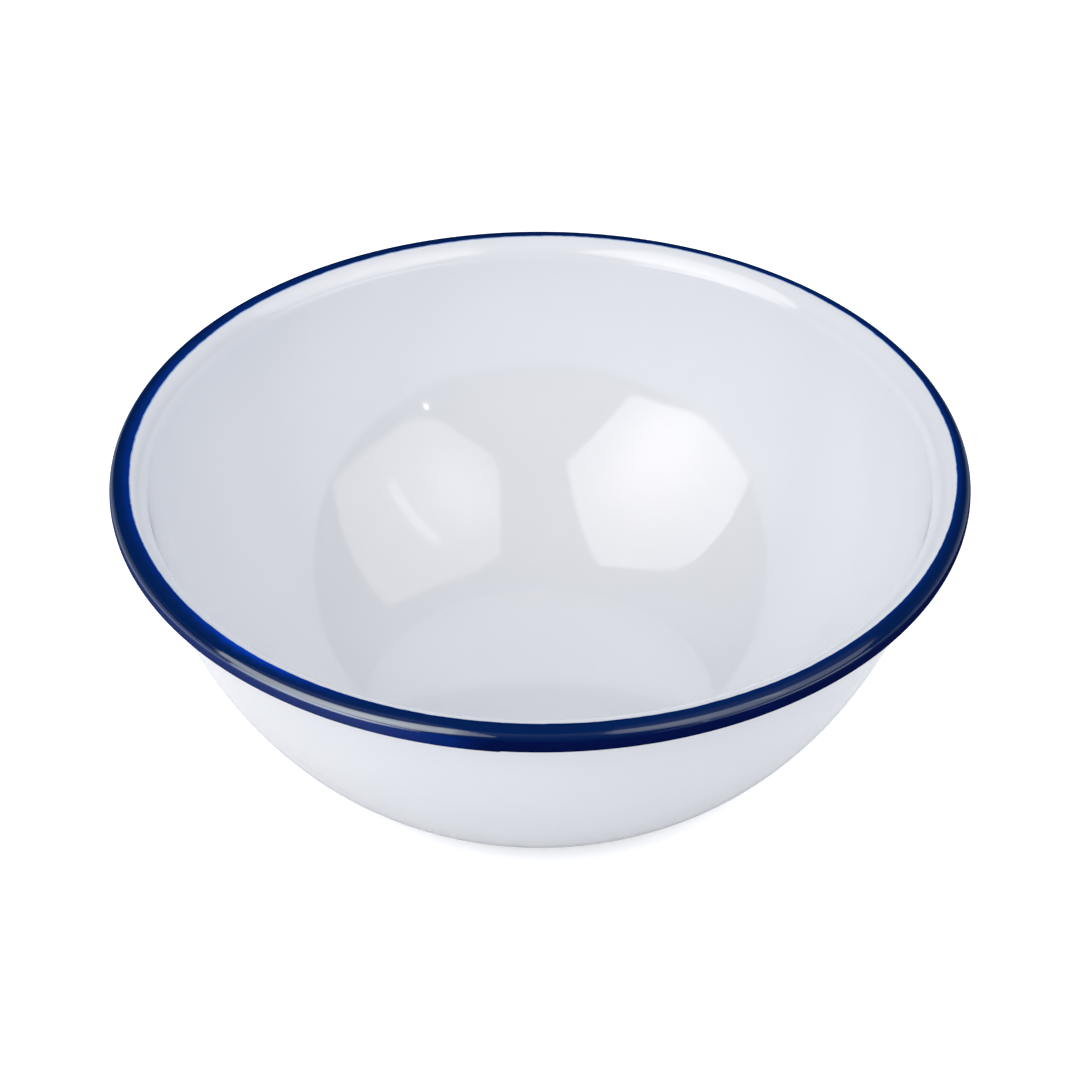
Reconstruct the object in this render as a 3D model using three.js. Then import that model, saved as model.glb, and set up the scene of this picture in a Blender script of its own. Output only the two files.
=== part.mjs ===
// Pudding bowl: a deep-drawn steel bowl with a rolled rim, enamelled white with a blue edge.
// Millimetres, +Z up. The origin is the middle of the base's underside, on the table.
import * as THREE from 'three';

// Overall sizes, over the enamel
const OVERALL_DIAMETER = 160;
const OVERALL_HEIGHT = 61.6;

// Thicknesses of the sheet and of each enamel layer fused to it
const STEEL_THICKNESS = 0.6;
const GROUND_THICKNESS = 0.1;
const WHITE_THICKNESS = 0.2;
const BLUE_THICKNESS = 0.12;
const BOND_GAP = 0.02; // hairline kept between one layer and the next

// Base and wall, along the middle of the sheet
const BASE_FLAT_RADIUS = 34.1;
const CORNER_RADIUS = 4.6; // bend from the flat base into the wall
const WALL_FOOT_SLOPE = THREE.MathUtils.degToRad(14);
const WALL_TOP_SLOPE = THREE.MathUtils.degToRad(84.2);
const WALL_FOOT_PULL = 20.3; // how far the wall runs on outwards before it turns up
const WALL_TOP_PULL = 24.8; // how far down the wall keeps its steep upper slope

// Rolled rim
const BEAD_DIAMETER = 5; // over the blue enamel
const LIP_SPREAD = 1.94; // how much wider the lip's curve is than the bead's
const SEAM_GAP = 0.1; // where the bead closes against the wall
const BLUE_EDGE_ANGLE = THREE.MathUtils.degToRad(9.5); // inside the crest
const BLUE_UNDER_ANGLE = THREE.MathUtils.degToRad(170); // from the crest round and under the bead

// Facets
const SIDES = 48;
const WALL_STEPS = 8;
const FACET_DEPTH = 0.1; // how far a flat facet may cut inside a true arc

// Distances of the layers from the middle of the sheet, the same on both sides
const STEEL_FACE = STEEL_THICKNESS / 2;
const GROUND_BACK = STEEL_FACE + BOND_GAP;
const GROUND_FACE = GROUND_BACK + GROUND_THICKNESS;
const WHITE_BACK = GROUND_FACE + BOND_GAP;
const WHITE_FACE = WHITE_BACK + WHITE_THICKNESS;
const BLUE_BACK = WHITE_FACE + BOND_GAP;
const BLUE_FACE = BLUE_BACK + BLUE_THICKNESS;

// Centres and radii of the lip and the bead, which meet at the crest
const CREST_RADIUS = (OVERALL_DIAMETER - BEAD_DIAMETER) / 2;
const CREST_HEIGHT = OVERALL_HEIGHT - BLUE_FACE;
const BEAD_RADIUS = BEAD_DIAMETER / 2 - BLUE_FACE;
const LIP_RADIUS = BEAD_DIAMETER / 2 + LIP_SPREAD - WHITE_FACE;
const BEAD_CENTRE = new THREE.Vector2(CREST_RADIUS, CREST_HEIGHT - BEAD_RADIUS);
const LIP_CENTRE = new THREE.Vector2(CREST_RADIUS, CREST_HEIGHT - LIP_RADIUS);
const BEAD_EQUATOR = -Math.PI / 2; // the heading at the bowl's widest

// A station is a point on the middle of the sheet, in radius and height, with the heading of the sheet there.
// The heading starts level at the axis, so the inside of the bowl is always on the left.
function leftOf(heading) {
  return new THREE.Vector2(-Math.sin(heading), Math.cos(heading));
}

// A station on an arc: a crowned arc turns right, round a centre on its right, and a hollow one turns left.
function onArc(centre, radius, heading) {
  return { point: leftOf(heading).multiplyScalar(radius).add(centre), heading };
}

// The stations of an arc after its first, no facet cutting deeper than FACET_DEPTH
function arc(centre, radius, from, to) {
  const facetTurn = 2 * Math.acos(1 - FACET_DEPTH / Math.abs(radius));
  const steps = Math.ceil(Math.abs(to - from) / facetTurn);
  return Array.from({ length: steps }, (_, i) => onArc(centre, radius, from + ((to - from) * (i + 1)) / steps));
}

// The heading at which the white bead comes within SEAM_GAP of the white underside of the lip
function closingHeading() {
  const beadFace = BEAD_RADIUS + WHITE_FACE;
  const reach = LIP_RADIUS - WHITE_FACE - SEAM_GAP;
  const rise = BEAD_CENTRE.y - LIP_CENTRE.y;
  const sine = (reach ** 2 - beadFace ** 2 - rise ** 2) / (2 * rise * beadFace);
  return -Math.PI - Math.acos(-sine);
}

// The heading of the lip beside the closed bead, where the coats of the outside stop
function seamHeading(closing) {
  const tip = onArc(BEAD_CENTRE, BEAD_RADIUS + WHITE_FACE, closing).point.sub(LIP_CENTRE);
  return Math.atan2(-tip.x, tip.y);
}

// The sheet's middle line from the axis to the raw edge inside the bead, in the stretches that the coats need
const closing = closingHeading();
const seam = seamHeading(closing);
const cornerCentre = new THREE.Vector2(BASE_FLAT_RADIUS, WHITE_FACE + CORNER_RADIUS);
const wallFoot = onArc(cornerCentre, -CORNER_RADIUS, WALL_FOOT_SLOPE).point;
const wallTop = onArc(LIP_CENTRE, LIP_RADIUS, WALL_TOP_SLOPE).point;

function wallCurve() {
  const footPull = new THREE.Vector2(Math.cos(WALL_FOOT_SLOPE), Math.sin(WALL_FOOT_SLOPE));
  const topPull = new THREE.Vector2(Math.cos(WALL_TOP_SLOPE), Math.sin(WALL_TOP_SLOPE));
  const low = wallFoot.clone().addScaledVector(footPull, WALL_FOOT_PULL);
  const high = wallTop.clone().addScaledVector(topPull, -WALL_TOP_PULL);
  return new THREE.CubicBezierCurve(wallFoot, low, high, wallTop);
}

function wall() {
  const curve = wallCurve();
  return Array.from({ length: WALL_STEPS }, (_, i) => {
    const share = (i + 1) / WALL_STEPS;
    return { point: curve.getPoint(share), heading: curve.getTangent(share).angle() };
  });
}

const base = [
  { point: new THREE.Vector2(0, WHITE_FACE), heading: 0 },
  { point: new THREE.Vector2(BASE_FLAT_RADIUS, WHITE_FACE), heading: 0 },
];
const corner = arc(cornerCentre, -CORNER_RADIUS, 0, WALL_FOOT_SLOPE);
const lipBesideSeam = arc(LIP_CENTRE, LIP_RADIUS, WALL_TOP_SLOPE, seam);
const lipAboveSeam = arc(LIP_CENTRE, LIP_RADIUS, seam, BLUE_EDGE_ANGLE);
const lipUnderBlue = arc(LIP_CENTRE, LIP_RADIUS, BLUE_EDGE_ANGLE, 0);
const beadUnderBlue = [
  ...arc(BEAD_CENTRE, BEAD_RADIUS, 0, BEAD_EQUATOR),
  ...arc(BEAD_CENTRE, BEAD_RADIUS, BEAD_EQUATOR, -BLUE_UNDER_ANGLE),
];
const beadToSeam = arc(BEAD_CENTRE, BEAD_RADIUS, -BLUE_UNDER_ANGLE, closing);

const outside = [...base, ...corner, ...wall(), ...lipBesideSeam];
const inside = [...outside, ...lipAboveSeam, ...lipUnderBlue, ...beadUnderBlue, ...beadToSeam];
const edge = [lipAboveSeam.at(-1), ...lipUnderBlue, ...beadUnderBlue];

// One layer: the space between two distances from the middle of the sheet, turned round the axis
function layer(name, stations, right, left, finish) {
  const side = (distance) => stations.map(({ point, heading }) => point.clone().addScaledVector(leftOf(heading), distance));
  const outline = [...side(right), ...side(left).reverse()];
  if (outline[0].x > 0) {
    outline.push(outline[0]);
  }
  const geometry = new THREE.LatheGeometry(outline, SIDES);
  geometry.rotateX(Math.PI / 2);
  const mesh = new THREE.Mesh(geometry, new THREE.MeshStandardMaterial(finish));
  mesh.name = name;
  return mesh;
}

const STEEL = { color: 0x85888c, roughness: 0.45, metalness: 1 };
const GROUND = { color: 0x1b1e2a, roughness: 0.5, metalness: 0 };
const WHITE = { color: 0xeef1f4, roughness: 0.12, metalness: 0 };
const BLUE = { color: 0x0a1e66, roughness: 0.1, metalness: 0 };

const bowl = new THREE.Group();
bowl.name = 'pudding_bowl';
bowl.add(
  layer('steel_bowl', inside, -STEEL_FACE, STEEL_FACE, STEEL),
  layer('inner_ground_coat', inside, GROUND_BACK, GROUND_FACE, GROUND),
  layer('outer_ground_coat', outside, -GROUND_FACE, -GROUND_BACK, GROUND),
  layer('inner_white_enamel', inside, WHITE_BACK, WHITE_FACE, WHITE),
  layer('outer_white_enamel', outside, -WHITE_FACE, -WHITE_BACK, WHITE),
  layer('blue_rim_enamel', edge, BLUE_BACK, BLUE_FACE, BLUE),
);

export default bowl;
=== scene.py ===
import math

import bpy
from mathutils import Matrix, Vector


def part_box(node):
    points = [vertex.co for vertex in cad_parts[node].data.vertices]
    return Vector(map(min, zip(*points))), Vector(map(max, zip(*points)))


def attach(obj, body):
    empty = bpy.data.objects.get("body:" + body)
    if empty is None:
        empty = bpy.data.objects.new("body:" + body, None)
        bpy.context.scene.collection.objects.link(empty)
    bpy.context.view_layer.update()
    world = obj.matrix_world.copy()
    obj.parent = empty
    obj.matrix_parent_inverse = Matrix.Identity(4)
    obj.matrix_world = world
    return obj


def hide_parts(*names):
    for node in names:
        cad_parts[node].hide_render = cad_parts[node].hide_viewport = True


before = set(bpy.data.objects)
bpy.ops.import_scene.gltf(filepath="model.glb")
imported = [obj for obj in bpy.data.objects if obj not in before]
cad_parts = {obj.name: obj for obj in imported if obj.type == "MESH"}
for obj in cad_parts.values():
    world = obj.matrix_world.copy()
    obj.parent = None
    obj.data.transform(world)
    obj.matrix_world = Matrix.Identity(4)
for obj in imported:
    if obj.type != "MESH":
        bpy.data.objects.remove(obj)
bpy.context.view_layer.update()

# The view
# The bowl is seen from in front and well above, so that most of the inside shows over the near rim.
# The lens is long, as for a catalogue picture, and its axis points at a spot inside the bowl.
VIEW_HEIGHT_ANGLE = math.radians(37.49)
VIEW_DISTANCE = 0.57164
VIEW_AIM = Vector((0, 0, 0.04108))
LENS_MM = 100

towards_camera = Vector((0, -math.cos(VIEW_HEIGHT_ANGLE), math.sin(VIEW_HEIGHT_ANGLE)))
camera = bpy.data.objects.new("camera", bpy.data.cameras.new("camera"))
camera.data.lens = LENS_MM
camera.location = VIEW_AIM + VIEW_DISTANCE * towards_camera
camera.rotation_euler = (math.pi / 2 - VIEW_HEIGHT_ANGLE, 0, 0)
bpy.context.scene.collection.objects.link(camera)
bpy.context.scene.camera = camera
bpy.context.scene.view_settings.view_transform = "Standard"

# The pressed steel bowl
# One disc of low-carbon sheet, deep drawn to a flat base and a round wall, its edge flared into a lip
# and rolled outwards and down into a hollow bead. Every enamel layer is fused to it, so it shows nowhere.
STEEL_THICKNESS = 0.0006
BASE_FLAT_RADIUS = 0.0341
CORNER_RADIUS = 0.0046
WALL_FOOT_SLOPE = math.radians(14)
WALL_TOP_SLOPE = math.radians(84.2)
WALL_FOOT_PULL = 0.0203
WALL_TOP_PULL = 0.0248
LIP_RADIUS = 0.0038
BEAD_RADIUS = 0.00172
SEAM_SLOPE = math.radians(50.8)
BLUE_EDGE_SLOPE = math.radians(11.8)
BLUE_UNDER_TURN = math.radians(170)
BEAD_TURN = math.radians(267.8)
FLOOR_STEPS = 8
CORNER_STEPS = 5
WALL_STEPS = 44
LIP_STEPS = (9, 11, 5)
BEAD_STEPS = (30, 16)
SIDES = 192
CREASE_ANGLE = math.radians(40)

steel_low, steel_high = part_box("steel_bowl")
STEEL_FACE = STEEL_THICKNESS / 2
crest = Vector((steel_high.x - STEEL_FACE - BEAD_RADIUS, steel_high.z - STEEL_FACE))
base_height = steel_low.z + STEEL_FACE


def ahead(heading):
    """The unit vector, in radius and height, along a sheet with this heading."""
    return Vector((math.cos(heading), math.sin(heading)))


def left_of(heading):
    """The unit vector, in radius and height, that points into the bowl from a sheet with this heading."""
    return Vector((-math.sin(heading), math.cos(heading)))


def bend(centre, radius, start, end, steps):
    """Points and headings of an arc after its first point; a negative radius turns upwards."""
    headings = [start + (end - start) * (i + 1) / steps for i in range(steps)]
    return [(centre + radius * left_of(h), h) for h in headings]


def wall(foot, top, steps):
    """Points and headings of the round wall after its first point, a cubic curve between its two slopes."""
    low = foot + WALL_FOOT_PULL * ahead(WALL_FOOT_SLOPE)
    high = top - WALL_TOP_PULL * ahead(WALL_TOP_SLOPE)
    curve = []
    for i in range(steps):
        t = (i + 1) / steps
        s = 1 - t
        point = s**3 * foot + 3 * s * s * t * low + 3 * s * t * t * high + t**3 * top
        tangent = s * s * (low - foot) + 2 * s * t * (high - low) + t * t * (top - high)
        curve.append((point, math.atan2(tangent.y, tangent.x)))
    return curve


corner_centre = Vector((BASE_FLAT_RADIUS, base_height + CORNER_RADIUS))
lip_centre = crest - Vector((0, LIP_RADIUS))
bead_centre = crest - Vector((0, BEAD_RADIUS))
wall_foot = corner_centre - CORNER_RADIUS * left_of(WALL_FOOT_SLOPE)
wall_top = lip_centre + LIP_RADIUS * left_of(WALL_TOP_SLOPE)
floor = [Vector((BASE_FLAT_RADIUS * i / FLOOR_STEPS, base_height)) for i in range(FLOOR_STEPS + 1)]
stretches = {
    "floor": [(spot, 0) for spot in floor],
    "corner": bend(corner_centre, -CORNER_RADIUS, 0, WALL_FOOT_SLOPE, CORNER_STEPS),
    "wall": wall(wall_foot, wall_top, WALL_STEPS),
    "lip to seam": bend(lip_centre, LIP_RADIUS, WALL_TOP_SLOPE, SEAM_SLOPE, LIP_STEPS[0]),
    "lip to blue": bend(lip_centre, LIP_RADIUS, SEAM_SLOPE, BLUE_EDGE_SLOPE, LIP_STEPS[1]),
    "lip under blue": bend(lip_centre, LIP_RADIUS, BLUE_EDGE_SLOPE, 0, LIP_STEPS[2]),
    "bead under blue": bend(bead_centre, BEAD_RADIUS, 0, -BLUE_UNDER_TURN, BEAD_STEPS[0]),
    "bead to seam": bend(bead_centre, BEAD_RADIUS, -BLUE_UNDER_TURN, -BEAD_TURN, BEAD_STEPS[1]),
}

# Lengths along the middle of the sheet, at each station and at the end of each stretch
stations = [station for stretch in stretches.values() for station in stretch]
run = [0.0]
for (before, _), (after, _) in zip(stations, stations[1:]):
    run.append(run[-1] + (after - before).length)
run_at = {}
passed = 0
for name, stretch in stretches.items():
    passed += len(stretch)
    run_at[name] = run[passed - 1]

spots = [(point.x, 0, point.y) for point, _ in stations]
middle_line = bpy.data.meshes.new("middle_line")
middle_line.from_pydata(spots, [(i, i + 1) for i in range(len(spots) - 1)], [])
inward = [part for _, heading in stations for part in (-math.sin(heading), 0, math.cos(heading))]
middle_line.attributes.new("inward", "FLOAT_VECTOR", "POINT").data.foreach_set("vector", inward)
middle_line.attributes.new("along", "FLOAT", "POINT").data.foreach_set("value", run)


class Wire:
    """One output of a node. Arithmetic on it adds Math nodes to its tree, and node() adds any other node."""

    def __init__(self, tree, socket):
        self.tree = tree
        self.socket = socket

    def node(self, kind, inputs=(), output=0, **settings):
        made = self.tree.nodes.new(kind)
        for name, value in settings.items():
            setattr(made, name, value)
        shown = [s for s in made.inputs if s.enabled]
        for name, value in dict(inputs).items():
            socket = shown[name] if isinstance(name, int) else next(s for s in shown if s.name == name)
            if isinstance(value, Wire):
                self.tree.links.new(value.socket, socket)
            else:
                socket.default_value = value
        given = [s for s in made.outputs if s.enabled]
        found = given[output] if isinstance(output, int) else next(s for s in given if s.name == output)
        return Wire(self.tree, found)

    def math(self, operation, *values):
        return self.node("ShaderNodeMath", dict(enumerate(values)), operation=operation)

    def rise(self, low, high, start=0.0, end=1.0, kind="SMOOTHSTEP"):
        """Goes from start to end as this value goes from low to high, and stays level beyond them."""
        ends = {"Value": self, "From Min": low, "From Max": high, "To Min": start, "To Max": end}
        return self.node("ShaderNodeMapRange", ends, interpolation_type=kind)

    def noise(self, scale, detail):
        """Soft noise between 0 and 1 at this place."""
        return self.node("ShaderNodeTexNoise", {"Vector": self, "Scale": scale, "Detail": detail})

    def blend(self, bare, full):
        """The first colour where this value is 0 and the second where it is 1."""
        return self.node("ShaderNodeMix", {"Factor": self, "A": bare, "B": full}, data_type="RGBA")

    def __add__(self, other):
        return self.math("ADD", self, other)

    def __radd__(self, other):
        return self.math("ADD", other, self)

    def __sub__(self, other):
        return self.math("SUBTRACT", self, other)

    def __rsub__(self, other):
        return self.math("SUBTRACT", other, self)

    def __mul__(self, other):
        return self.math("MULTIPLY", self, other)

    def __rmul__(self, other):
        return self.math("MULTIPLY", other, self)

    def __truediv__(self, other):
        return self.math("DIVIDE", self, other)

    def __rtruediv__(self, other):
        return self.math("DIVIDE", other, self)


def turned_layer_tree():
    """A tree that turns one layer of the bowl round its axis.

    It keeps the stations of the sheet's middle line between two lengths along it, sets off a back and a face
    from them, and spins that closed outline. The face thins to nothing over the feather length at both ends
    and ripples a little. Both ends waver round the bowl as a brushed edge does, and the first leans to one
    side. On the outer side of the bead the end of the stroke laps over its start."""
    tree = bpy.data.node_groups.new("turned_layer", "GeometryNodeTree")
    sockets = {
        "Geometry": "NodeSocketGeometry",
        "From": "NodeSocketFloat",
        "To": "NodeSocketFloat",
        "Back": "NodeSocketFloat",
        "Face": "NodeSocketFloat",
        "Feather": "NodeSocketFloat",
        "Waver": "NodeSocketFloat",
        "Lean": "NodeSocketFloat",
        "Reach": "NodeSocketFloat",
        "Ripple": "NodeSocketFloat",
        "Lap": "NodeSocketFloat",
        "Start": "NodeSocketFloat",
        "Sides": "NodeSocketInt",
        "Material": "NodeSocketMaterial",
    }
    for name, kind in sockets.items():
        tree.interface.new_socket(name, in_out="INPUT", socket_type=kind)
    tree.interface.new_socket("Geometry", in_out="OUTPUT", socket_type="NodeSocketGeometry")
    group = tree.nodes.new("NodeGroupInput")
    given = {name: Wire(tree, group.outputs[name]) for name in sockets}
    start = given["Geometry"]

    lengths = start.node("GeometryNodeInputNamedAttribute", {"Name": "along"}, data_type="FLOAT")
    tolerance = 1e-6
    before = lengths.math("LESS_THAN", lengths, given["From"] - tolerance)
    after = lengths.math("GREATER_THAN", lengths, given["To"] + tolerance)
    beyond = {"Geometry": start, "Selection": before + after}
    kept = start.node("GeometryNodeDeleteGeometry", beyond, domain="POINT")
    count = kept.node("GeometryNodeAttributeDomainSize", {"Geometry": kept}, "Point Count", component="MESH")

    rows = given["Sides"] + 1
    grid = kept.node("GeometryNodeMeshGrid", {"Vertices X": 2 * count + 1, "Vertices Y": rows}, "Mesh")
    index = grid.node("GeometryNodeInputIndex")
    place = index.math("FLOOR", (index + 0.5) / rows)
    turn = (index - place * rows) / given["Sides"] * math.tau
    place = place.math("MODULO", place, 2 * count)
    on_face = place.math("GREATER_THAN", place, count - 0.5)
    station = place + on_face * (2 * count - 1 - 2 * place)

    at_station = {"Geometry": kept, "Value": lengths, "Index": station}
    length = kept.node("GeometryNodeSampleIndex", at_station, data_type="FLOAT", domain="POINT")
    cosine = turn.math("COSINE", turn)
    sine = turn.math("SINE", turn)
    from_start = length - given["From"]
    from_end = given["To"] - length
    around = from_start / (from_start + from_end)
    nearest = length.math("MINIMUM", from_start, from_end)
    full = length.math("MINIMUM", (nearest + tolerance) / (given["Feather"] + tolerance), 1)
    cover = full * (2 - full)

    def round_noise(scale, seed):
        ring = turn.node("ShaderNodeCombineXYZ", {"X": cosine, "Y": sine, "Z": seed})
        return ring.noise(scale, detail=2) - 0.5

    brush = round_noise(scale=7, seed=1.7) + round_noise(scale=46, seed=4.1)
    held = nearest / (given["Reach"] + tolerance)
    let_go = 1 - held.math("MINIMUM", held, 1)
    first = length.math("LESS_THAN", from_start, from_end)
    shift = (given["Waver"] * brush + given["Lean"] * first * cosine) * let_go

    curve = start.node("GeometryNodeMeshToCurve", {"Mesh": start})
    normal = start.node("GeometryNodeInputNamedAttribute", {"Name": "inward"}, data_type="FLOAT_VECTOR")
    on_line = {"Curves": curve, "Value": normal, "Length": length + shift}
    by_length = {"mode": "LENGTH", "data_type": "FLOAT_VECTOR"}

    def sampled(output):
        vector = curve.node("GeometryNodeSampleCurve", on_line, output, **by_length)
        return [vector.node("ShaderNodeSeparateXYZ", {"Vector": vector}, axis) for axis in "XZ"]

    radius, height = sampled("Position")
    normal_radius, normal_height = sampled("Value")
    spot = turn.node("ShaderNodeCombineXYZ", {"X": radius * cosine, "Y": radius * sine, "Z": height})
    swell = spot.noise(scale=85, detail=1)
    outward = 2 * given["Face"].math("GREATER_THAN", given["Face"], given["Back"]) - 1
    stroke = turn.math("FRACT", (turn - given["Start"]) / math.tau + 1)
    bead_side = (0.3, 0.5)
    lap_steepness = 40
    lap = given["Lap"] * around.rise(*bead_side, kind="LINEAR") * stroke.math("POWER", stroke, lap_steepness)
    depth = given["Face"] - given["Back"] + outward * lap
    face = given["Back"] + depth * cover + outward * given["Ripple"] * swell
    low_side = face.math("MINIMUM", given["Back"], face)
    high_side = face.math("MAXIMUM", given["Back"], face)
    distance = low_side + on_face * (high_side - low_side)
    r = radius + normal_radius * distance
    z = height + normal_height * distance
    spun = turn.node("ShaderNodeCombineXYZ", {"X": r * cosine, "Y": r * sine, "Z": z})

    shaped = grid.node("GeometryNodeSetPosition", {"Geometry": grid, "Position": spun})
    for name, value in {"cover": cover, "around": around}.items():
        mark = {"Geometry": shaped, "Name": name, "Value": value}
        shaped = shaped.node("GeometryNodeStoreNamedAttribute", mark, data_type="FLOAT", domain="POINT")
    joined = shaped.node("GeometryNodeMergeByDistance", {"Geometry": shaped, "Distance": tolerance})
    loose = 1 - joined.node("GeometryNodeInputMeshEdgeNeighbors")
    bare = {"Geometry": joined, "Selection": loose}
    closed = joined.node("GeometryNodeDeleteGeometry", bare, domain="EDGE")
    corner = closed.node("GeometryNodeInputMeshEdgeAngle", output="Unsigned Angle")
    smooth = {"Geometry": closed, "Shade Smooth": True}
    soft = closed.node("GeometryNodeSetShadeSmooth", smooth, domain="FACE")
    rounded = {"Geometry": soft, "Shade Smooth": corner.math("LESS_THAN", corner, CREASE_ANGLE)}
    creased = soft.node("GeometryNodeSetShadeSmooth", rounded, domain="EDGE")
    real = creased.node("GeometryNodeRealizeInstances", {"Geometry": creased})
    coated = real.node("GeometryNodeSetMaterial", {"Geometry": real, "Material": given["Material"]})
    end = tree.nodes.new("NodeGroupOutput")
    tree.links.new(coated.socket, end.inputs["Geometry"])
    return tree


layer_tree = turned_layer_tree()


def turned_layer(name, node, slot, **sizes):
    """Makes one layer as a plain mesh that stands for a CAD node and moves with the bowl."""
    source = bpy.data.objects.new(name + "_line", middle_line)
    bpy.context.scene.collection.objects.link(source)
    modifier = source.modifiers.new("turn", "NODES")
    modifier.node_group = layer_tree
    for item in layer_tree.interface.items_tree:
        if item.in_out == "INPUT" and item.name in sizes:
            modifier[item.identifier] = sizes[item.name]
    depsgraph = bpy.context.evaluated_depsgraph_get()
    mesh = bpy.data.meshes.new_from_object(source.evaluated_get(depsgraph), depsgraph=depsgraph)
    mesh.name = name
    # Set Material leaves an empty slot in front of its own
    mesh.materials.pop(index=0)
    source.modifiers.remove(modifier)
    bpy.data.objects.remove(source)
    piece = bpy.data.objects.new(name, mesh)
    bpy.context.scene.collection.objects.link(piece)
    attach(piece, "root")
    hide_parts(node)


def finish(name, **constants):
    """A new material, its shader node with these constants, and the place on the piece to read from."""
    material = bpy.data.materials.new(name)
    material.use_nodes = True
    shader = material.node_tree.nodes["Principled BSDF"]
    for socket, value in constants.items():
        shader.inputs[socket.replace("_", " ")].default_value = value
    coordinates = material.node_tree.nodes.new("ShaderNodeTexCoord")
    return material, shader, Wire(material.node_tree, coordinates.outputs["Object"])


def feed(shader, socket, wire):
    wire.tree.links.new(wire.socket, shader.inputs[socket])


BRIGHT_STEEL = (0.50, 0.51, 0.53, 1)
STAINED_STEEL = (0.40, 0.41, 0.43, 1)


def drawn_steel():
    material, shader, place = finish("drawn_steel", Metallic=1.0)
    stain = place.noise(scale=45, detail=2)
    feed(shader, "Base Color", stain.blend(BRIGHT_STEEL, STAINED_STEEL))
    feed(shader, "Roughness", 0.32 + 0.25 * place.noise(scale=900, detail=4))
    return material


turned_layer(
    "pressed_steel_bowl",
    "steel_bowl",
    "sheet_steel",
    From=0.0,
    To=run_at["bead to seam"],
    Back=-STEEL_FACE,
    Face=STEEL_FACE,
    Sides=SIDES,
    Material=drawn_steel(),
)

# The ground coats
# A thin dark enamel, dipped and fired straight on the cleaned steel, that the white then grips.
# One coat lines the inside and runs over the bead to its seam, the other covers the outside and the base.
GROUND_THICKNESS = 0.0001
HAIRLINE = 0.00002
GROUND_BACK = STEEL_FACE + HAIRLINE
GROUND_FACE = GROUND_BACK + GROUND_THICKNESS
GROUND_BLACK = (0.012, 0.014, 0.026, 1)
GROUND_GREY = (0.030, 0.032, 0.046, 1)


def ground_enamel():
    material, shader, place = finish("dark_ground")
    feed(shader, "Base Color", place.noise(scale=120, detail=3).blend(GROUND_BLACK, GROUND_GREY))
    bubbles = place.node("ShaderNodeTexVoronoi", {"Vector": place, "Scale": 1400})
    feed(shader, "Roughness", 0.35 + 0.2 * bubbles)
    pits = {"Height": bubbles, "Strength": 0.2, "Distance": 0.00005}
    feed(shader, "Normal", place.node("ShaderNodeBump", pits))
    return material


# For each half: its name in the CAD, the side of the sheet that it lies on, and where it ends
HALVES = {"inside": ("inner", 1, run_at["bead to seam"]), "outside": ("outer", -1, run_at["lip to seam"])}


def two_halves(coat, slot, back, face, **sizes):
    """Makes the same coat on the inside and the outside of the bowl."""
    for half, (cad_name, side, end) in HALVES.items():
        turned_layer(
            half + coat,
            cad_name + coat,
            slot,
            From=0.0,
            To=end,
            Back=side * back,
            Face=side * face,
            Sides=SIDES,
            **sizes,
        )


two_halves("_ground_coat", "ground_enamel", GROUND_BACK, GROUND_FACE, Material=ground_enamel())

# The white enamel
# The glossy white cover coat, dipped and fired over the ground coat in the same two halves.
# It flows a little in the kiln, so its face swells by hundredths of a millimetre and bends reflections.
WHITE_THICKNESS = 0.0002
WHITE_BACK = GROUND_FACE + HAIRLINE
WHITE_FACE = WHITE_BACK + WHITE_THICKNESS
WHITE_RIPPLE = 0.000016
MILK_SHADE = (0.81, 0.831, 0.868, 1)
MILK_LIGHT = (0.845, 0.863, 0.893, 1)
SPECK_GREY = (0.10, 0.10, 0.12, 1)
SPECK_DEPTH = 0.55


def specks(place, scale, rarity, radius):
    """1 on a small round speck in the middle of a few cells of a cell pattern, and 0 elsewhere."""
    cells = {"Vector": place, "Scale": scale}
    from_middle = place.node("ShaderNodeTexVoronoi", cells, "Distance")
    lot = place.node("ShaderNodeTexVoronoi", cells, "Color")
    drawn = lot.node("ShaderNodeSeparateXYZ", {"Vector": lot}, "X")
    return drawn.math("GREATER_THAN", drawn, rarity) * drawn.math("LESS_THAN", from_middle, radius)


def white_enamel():
    material, shader, place = finish("milk_white", IOR=1.7)
    cloud = place.noise(scale=28, detail=2)
    body = cloud.blend(MILK_SHADE, MILK_LIGHT)
    pinholes = specks(place, scale=70, rarity=0.93, radius=0.014)
    feed(shader, "Base Color", (SPECK_DEPTH * pinholes).blend(body, SPECK_GREY))
    feed(shader, "Roughness", 0.035 + 0.05 * cloud)
    skin = {"Height": place.noise(scale=420, detail=1), "Strength": 0.06, "Distance": 0.00006}
    feed(shader, "Normal", place.node("ShaderNodeBump", skin))
    return material


WHITE = {"Material": white_enamel(), "Ripple": WHITE_RIPPLE}
two_halves("_white_enamel", "white_enamel", WHITE_BACK, WHITE_FACE, **WHITE)

# The blue edge
# A band of dark blue enamel brushed by hand over the white on the bead, from inside the crest to under it.
# The stroke starts near the front and runs to the right all round. As the brush runs out, the enamel thins
# and the white shines through its inner edge. At its start the stroke ends in a small lap.
BLUE_THICKNESS = 0.00012
BLUE_BACK = WHITE_FACE + HAIRLINE
BLUE_FACE = BLUE_BACK + BLUE_THICKNESS
BLUE_FEATHER = 0.0005
BLUE_WAVER = 0.00022
BLUE_LEAN = 0.0005
BLUE_WAVER_REACH = 0.0016
BLUE_LAP = 0.00012
BLUE_SIDES = 6 * SIDES
STROKE_START = math.radians(265.2)
TOP_BLUE = (0.0, 0.0128, 0.085, 1)
THIN_AND_LIT_TOP_BLUE = (0.0, 0.055, 0.60, 1)
SIDE_BLUE = (0.0, 0.004, 0.055, 1)
THIN_SIDE_BLUE = (0.001, 0.018, 0.155, 1)
EDGE_BLUE = (0.33, 0.47, 0.78, 1)
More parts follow.
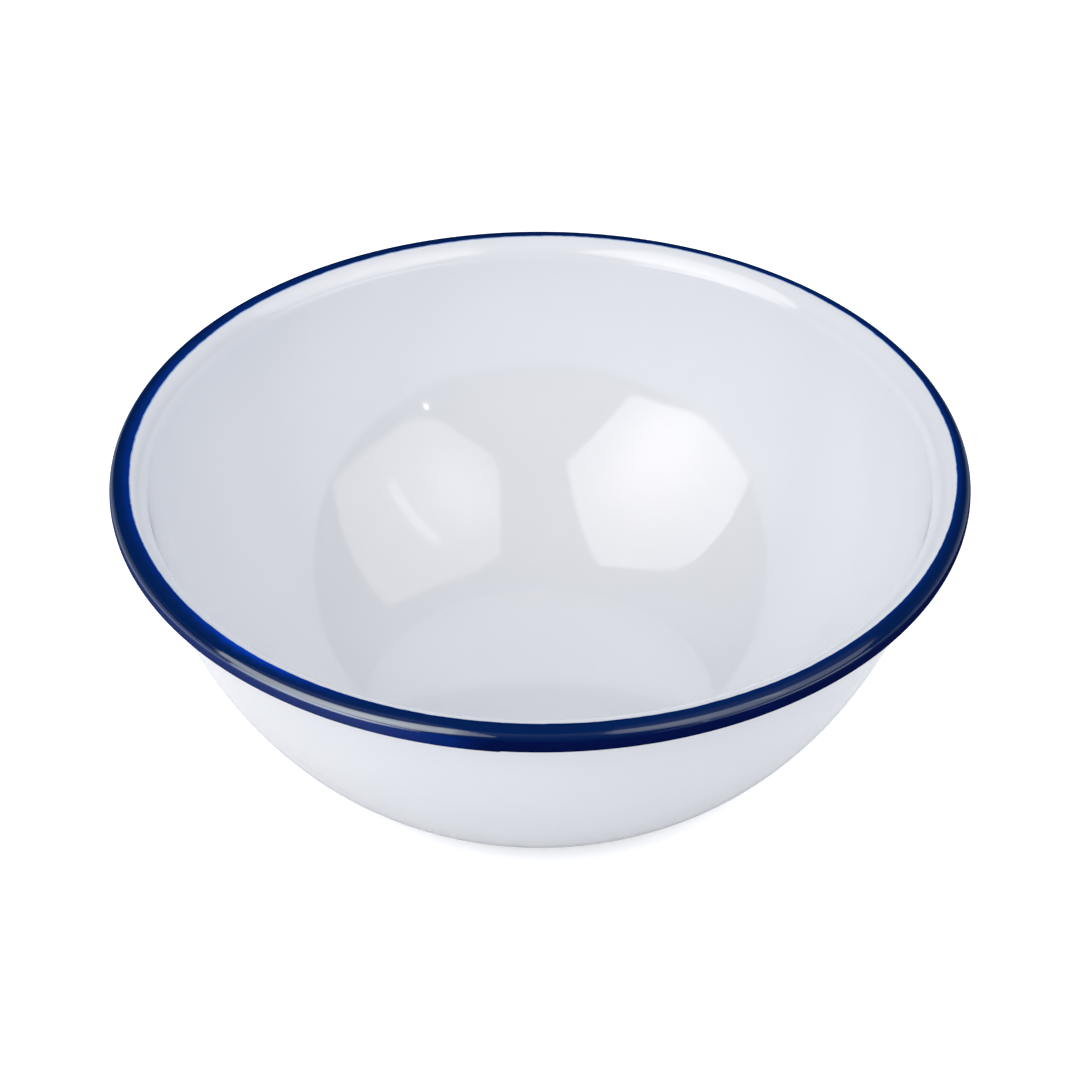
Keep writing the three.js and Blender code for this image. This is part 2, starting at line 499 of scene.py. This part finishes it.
BURST_BLUE = (0.55, 0.65, 0.75, 1)
COOL_SHINE = (0.86, 0.97, 1.0, 1)
# Shares of the stroke's way round the bowl
DRY_STREAK = 0.902
DRY_STREAK_SPREAD = 0.03
RUNNING_OUT = (0.1, 0.8)
LAP_ENDS = (0.945, 0.985)
LAP_SHARE = 1 / 60
# Shares of the way from the inner edge of the band to its lower edge
SHOWS_THROUGH = (0.05, 0.24)
BELOW_CREST = (0.3075, 0.333)
TURNED_DOWN = (0.396, 0.513)
TURNED_UNDER = (0.444, 0.473)
CREST_SHINE_SINKS = 0.015
UNDER_SHINE_SINKS = 0.03
# How far the enamel thins, how much paler the two sides are painted for the light their inner edge catches,
# and how unevenly
SIDES_THIN_AND_LIT = 0.17
SIDES_THIN_AND_LIT_LATE = 0.11
STREAK_THINS = 0.6
TOP_POOLING = 1.2
SIDE_POOLING = 0.3
INNER_FRAY = 0.1
EDGE_FRAY = 0.25
EDGE_COVER = (0.3, 0.65)
# Shares of the light that the glass throws back
TOP_SHINE = 0.01
BAND_SHINE = 0.063
DRY_BAND_SHINE = 0.097
UNDER_SHINE = 0.0015
LATE_UNDER_SHINE = 0.0165


def blue_enamel():
    material, shader, place = finish("brushed_blue", Roughness=0.4, Specular_IOR_Level=0.0)
    x, y = (place.node("ShaderNodeSeparateXYZ", {"Vector": place}, axis) for axis in "XY")
    stroke = place.math("FRACT", (y.math("ARCTAN2", y, x) - STROKE_START) / math.tau + 2)
    around = place.node("ShaderNodeAttribute", output="Fac", attribute_name="around")
    cover = place.node("ShaderNodeAttribute", output="Fac", attribute_name="cover")
    pools = place.noise(scale=60, detail=2) - 0.5
    bristles = place.noise(scale=420, detail=3) - 0.5

    # On top the enamel is thinner at the two sides, and thinnest in one streak that the brush left dry. The
    # paler blue towards the two sides is partly thin enamel and partly painted light: the inner edge there
    # shows brighter as it catches the light.
    from_streak = (stroke - DRY_STREAK) / DRY_STREAK_SPREAD
    streak = stroke.math("EXPONENT", 0 - from_streak * from_streak)
    sideways = x.math("ABSOLUTE", x) / steel_high.x
    # The share that grows with the distance to either side is partly painted light on the inner edge, not
    # only thin enamel
    thin_and_lit = (SIDES_THIN_AND_LIT + SIDES_THIN_AND_LIT_LATE * stroke) * sideways * sideways + STREAK_THINS * streak
    shows = (around + INNER_FRAY * bristles).rise(*SHOWS_THROUGH, start=1.0, end=0.0)
    top = (thin_and_lit * shows * (1 + TOP_POOLING * pools)).blend(TOP_BLUE, THIN_AND_LIT_TOP_BLUE)

    # Down the outer side it gets thinner all along the stroke, up to the lap.
    drying = stroke.math("MINIMUM", stroke, (1 - stroke) / LAP_SHARE)
    dried = drying * drying
    side = (dried + SIDE_POOLING * pools).blend(SIDE_BLUE, THIN_SIDE_BLUE)
    body = around.rise(*TURNED_DOWN).blend(top, side)
    brushed_out = (cover + EDGE_FRAY * bristles).rise(*EDGE_COVER).blend(EDGE_BLUE, body)
    bursts = specks(place, scale=160, rarity=0.9, radius=0.03)
    feed(shader, "Base Color", bursts.blend(brushed_out, BURST_BLUE))

    # The glass shines most in a band round the outer side, and least on top and where the bead turns under.
    peel = {"Height": place.noise(scale=500, detail=1), "Strength": 0.08, "Distance": 0.00006}
    skin = place.node("ShaderNodeBump", peel)
    feed(shader, "Normal", skin)
    glass = place.node("ShaderNodeBsdfGlossy", {"Color": COOL_SHINE, "Roughness": 0.08, "Normal": skin})
    late = stroke.rise(*RUNNING_OUT, kind="LINEAR") * stroke.rise(*LAP_ENDS, start=1.0, end=0.0)
    below_crest = (around - CREST_SHINE_SINKS * late).rise(*BELOW_CREST)
    turned_under = (around - UNDER_SHINE_SINKS * late).rise(*TURNED_UNDER)
    band = TOP_SHINE + below_crest * (BAND_SHINE + DRY_BAND_SHINE * dried * dried)
    shine = band + turned_under * (UNDER_SHINE + LATE_UNDER_SHINE * late - band)
    under_glass = Wire(material.node_tree, shader.outputs["BSDF"])
    glazed = place.node("ShaderNodeMixShader", {0: shine, 1: under_glass, 2: glass})
    feed(material.node_tree.nodes["Material Output"], "Surface", glazed)
    return material


turned_layer(
    "brushed_blue_edge",
    "blue_rim_enamel",
    "blue_enamel",
    From=run_at["lip to blue"],
    To=run_at["bead under blue"],
    Back=BLUE_BACK,
    Face=BLUE_FACE,
    Feather=BLUE_FEATHER,
    Waver=BLUE_WAVER,
    Lean=BLUE_LEAN,
    Reach=BLUE_WAVER_REACH,
    Lap=BLUE_LAP,
    Start=STROKE_START,
    Sides=BLUE_SIDES,
    Material=blue_enamel(),
)

# The studio
# A white sweep that turns up into a low wall all round, with a large soft light on each side of the bowl,
# the left one the stronger. Two low panels show in reflections alone, where they draw the long glints on
# the bead. The room is dark, a little paler at the back and overhead, and fills the shadows.
SWEEP_RADIUS = 2.6
SWEEP_BEND = 0.3
SWEEP_HEIGHT = 0.5
SWEEP_BEND_STEPS = 12
SWEEP_SIDES = 64
SWEEP_PAPER = (0.73, 0.74, 0.755, 1)
SWEEP_GLOW = 0.85
SHADOW_RADII = (0.02, 0.06)
MIRRORED_GLOW = 0.54
MIRRORED_NEAR = (0.028, 0.09)
MIRRORED_FAR = (0.4, 1.2)


def sweep_white():
    matt = {"Base_Color": SWEEP_PAPER, "Roughness": 1.0, "Specular_IOR_Level": 0.0, "Emission_Strength": 1.0}
    material, paper, place = finish("sweep_white", **matt)
    path = material.node_tree.nodes.new("ShaderNodeLightPath")
    rays = ("Is Camera Ray", "Is Glossy Ray", "Is Transmission Ray")
    seen, glossy, through = (Wire(material.node_tree, path.outputs[kind]) for kind in rays)
    mirrored = seen.math("MAXIMUM", glossy, through)
    out = place.node("ShaderNodeVectorMath", {0: place}, "Value", operation="LENGTH")
    lift = out.rise(*SHADOW_RADII)
    near = out.rise(*MIRRORED_NEAR)
    far = out.rise(*MIRRORED_FAR, start=1.0, end=0.0)
    feed(paper, "Emission Color", SWEEP_GLOW * lift * seen + MIRRORED_GLOW * near * far * mirrored)
    return material


sweep_line = []
for i in range(SWEEP_BEND_STEPS + 1):
    angle = math.pi / 2 * i / SWEEP_BEND_STEPS
    sweep_line.append((SWEEP_RADIUS - SWEEP_BEND * (1 - math.sin(angle)), SWEEP_BEND * (1 - math.cos(angle))))
sweep_line.append((SWEEP_RADIUS, SWEEP_HEIGHT))
points = [(0, 0, 0)]
faces = []
for i, (radius, height) in enumerate(sweep_line):
    for j in range(SWEEP_SIDES):
        turn = math.tau * j / SWEEP_SIDES
        points.append((radius * math.cos(turn), radius * math.sin(turn), height))
        here = 1 + i * SWEEP_SIDES + j
        beside = 1 + i * SWEEP_SIDES + (j + 1) % SWEEP_SIDES
        inner = (0,) if i == 0 else (beside - SWEEP_SIDES, here - SWEEP_SIDES)
        faces.append((here, beside, *inner))
sweep_mesh = bpy.data.meshes.new("sweep")
sweep_mesh.from_pydata(points, [], faces)
sweep_mesh.materials.append(sweep_white())
sweep_mesh.shade_smooth()
sweep = bpy.data.objects.new("sweep", sweep_mesh)
bpy.context.scene.collection.objects.link(sweep)

CLOTH_GLOW = 0.8
HOT_GLOW = 0.7
HOT_FALL = 6


def lit_cloth(name, centre, edges, corners, brightness, tint, hot_spot, bounces=True):
    """A soft light as a flat lit cloth. Its corners and brightest place are given along its two edges."""
    spots = [centre + u * edges[0] + v * edges[1] for u, v in corners]
    cloth = bpy.data.meshes.new(name)
    cloth.from_pydata(spots, [], [range(len(spots))])
    material = bpy.data.materials.new(name)
    material.use_nodes = True
    coordinates = material.node_tree.nodes.new("ShaderNodeTexCoord")
    place = Wire(material.node_tree, coordinates.outputs["Object"])
    hottest = centre + hot_spot[0] * edges[0] + hot_spot[1] * edges[1]
    away = place.node("ShaderNodeVectorMath", {0: place, 1: hottest}, "Value", operation="DISTANCE")
    fall = away.math("EXPONENT", -HOT_FALL * (away * away))
    strength = brightness * (CLOTH_GLOW + HOT_GLOW * fall)
    glow = place.node("ShaderNodeEmission", {"Color": (*tint, 1), "Strength": strength})
    feed(material.node_tree.nodes["Material Output"], "Surface", glow)
    cloth.materials.append(material)
    lamp = bpy.data.objects.new(name, cloth)
    lamp.visible_camera = False
    lamp.visible_diffuse = bounces
    lamp.visible_shadow = bounces
    bpy.context.scene.collection.objects.link(lamp)


LEFT_CENTRE = Vector((-0.511, -0.801, 0.732))
LEFT_EDGES = (Vector((0.615, 0.207, 0.761)), Vector((-0.039, 0.972, -0.233)))
LEFT_CORNERS = [(0.37, -0.66), (-0.46, -0.49), (-0.48, -0.4), (-0.485, 0.0), (-0.51, 0.45)]
LEFT_CORNERS += [(-0.37, 0.76), (0.2, 0.84), (0.54, 0.76)]
LEFT_GLOW = {"brightness": 2.12, "tint": (1.04, 0.99, 0.95), "hot_spot": (-0.2, 0.2)}
lit_cloth("left_light", LEFT_CENTRE, LEFT_EDGES, LEFT_CORNERS, **LEFT_GLOW)
RIGHT_CENTRE = Vector((0.637, -0.675, 0.76))
RIGHT_EDGES = (Vector((-0.573, 0.449, 0.685)), Vector((0.195, 0.887, -0.418)))
RIGHT_CORNERS = [(-0.475, -0.05), (-0.44, -0.36), (0.0, -0.84), (0.27, -0.65), (0.84, 0.22)]
RIGHT_CORNERS += [(0.83, 0.53), (0.63, 0.84), (-0.2, 0.68)]
RIGHT_GLOW = {"brightness": 1.34, "tint": (1.04, 0.99, 0.96), "hot_spot": (0.15, -0.1)}
lit_cloth("right_light", RIGHT_CENTRE, RIGHT_EDGES, RIGHT_CORNERS, **RIGHT_GLOW)
PANEL_UP = Vector((0, 0, 1))
PANEL_CORNERS = [(-0.6, -0.12), (0.6, -0.12), (0.6, 0.13), (-0.6, 0.13)]
PANEL = {"corners": PANEL_CORNERS, "tint": (1.0, 1.0, 1.0), "hot_spot": (0, 0), "bounces": False}
LEFT_PANEL = (Vector((-0.82, -0.692, 0.14)), (Vector((0.438, -0.662, 0)), PANEL_UP))
RIGHT_PANEL = (Vector((0.909, -0.66, 0.14)), (Vector((-0.588, -0.809, 0)), PANEL_UP))
lit_cloth("left_panel", *LEFT_PANEL, brightness=2.2, **PANEL)
lit_cloth("right_panel", *RIGHT_PANEL, brightness=1.5, **PANEL)
LAMP_STAND_OFF = 0.02


def lamp_behind_cloth(name, shape, spot, size, brightness):
    """A bare lamp of the right-hand light that shows as a brighter streak or dot."""
    light = bpy.data.lights.new(name, "AREA")
    light.shape = shape
    light.size, light.size_y = size
    light.energy = brightness * math.pi * size[0] * size[1]
    across, along = RIGHT_EDGES
    away = across.cross(along).normalized()
    if away.dot(RIGHT_CENTRE) < 0:
        away.negate()
    turn = Matrix((across, away.cross(across), away)).transposed().to_4x4()
    middle = RIGHT_CENTRE + spot[0] * across + spot[1] * along - LAMP_STAND_OFF * away
    lamp = bpy.data.objects.new(name, light)
    lamp.matrix_world = Matrix.Translation(middle) @ turn
    lamp.visible_camera = False
    bpy.context.scene.collection.objects.link(lamp)


lamp_behind_cloth("flash_tube", "RECTANGLE", spot=(0.16, 0.345), size=(0.5, 0.07), brightness=0.95)
lamp_behind_cloth("pilot_lamp", "ELLIPSE", spot=(-0.557, -0.238), size=(0.03, 0.03), brightness=30.0)

ROOM_COLOUR = (0.87, 1.0, 1.19, 1)
ROOM_SHADE = 0.2
SHADE_IN_FRONT = 0.25
ROOM_FILL = 0.79
CEILING_GLOW = 0.2
FILL_LOST_UPWARDS = 0.67
FILL_IN_FRONT = 1.08
FILL_LOST_BEHIND = 0.33
# How far back or up a direction points where the back wall, the wall over the sweep and the ceiling come in
BACK_WALL = (0.1, 0.6)
OVER_SWEEP = (0.15, 0.45)
CEILING = (0.6, 0.9)
world = bpy.data.worlds.new("dark_room")
world.use_nodes = True
room = world.node_tree.nodes["Background"]
room.inputs["Color"].default_value = ROOM_COLOUR
light_path = world.node_tree.nodes.new("ShaderNodeLightPath")
filled = Wire(world.node_tree, light_path.outputs["Is Diffuse Ray"])
sky = Wire(world.node_tree, world.node_tree.nodes.new("ShaderNodeTexCoord").outputs["Generated"])
backward, upward = (sky.node("ShaderNodeSeparateXYZ", {"Vector": sky}, axis) for axis in "YZ")
far_wall = backward.rise(*BACK_WALL, start=SHADE_IN_FRONT)
walls = ROOM_SHADE * far_wall * upward.rise(*OVER_SWEEP, kind="LINEAR")
ceiling = CEILING_GLOW * upward.rise(*CEILING, kind="LINEAR") * (1 - filled)
above = upward.math("MAXIMUM", upward, 0)
fill = ROOM_FILL * filled * (1 - FILL_LOST_UPWARDS * above) * (FILL_IN_FRONT - FILL_LOST_BEHIND * far_wall)
feed(room, "Strength", walls + ceiling + fill)
bpy.context.scene.world = world
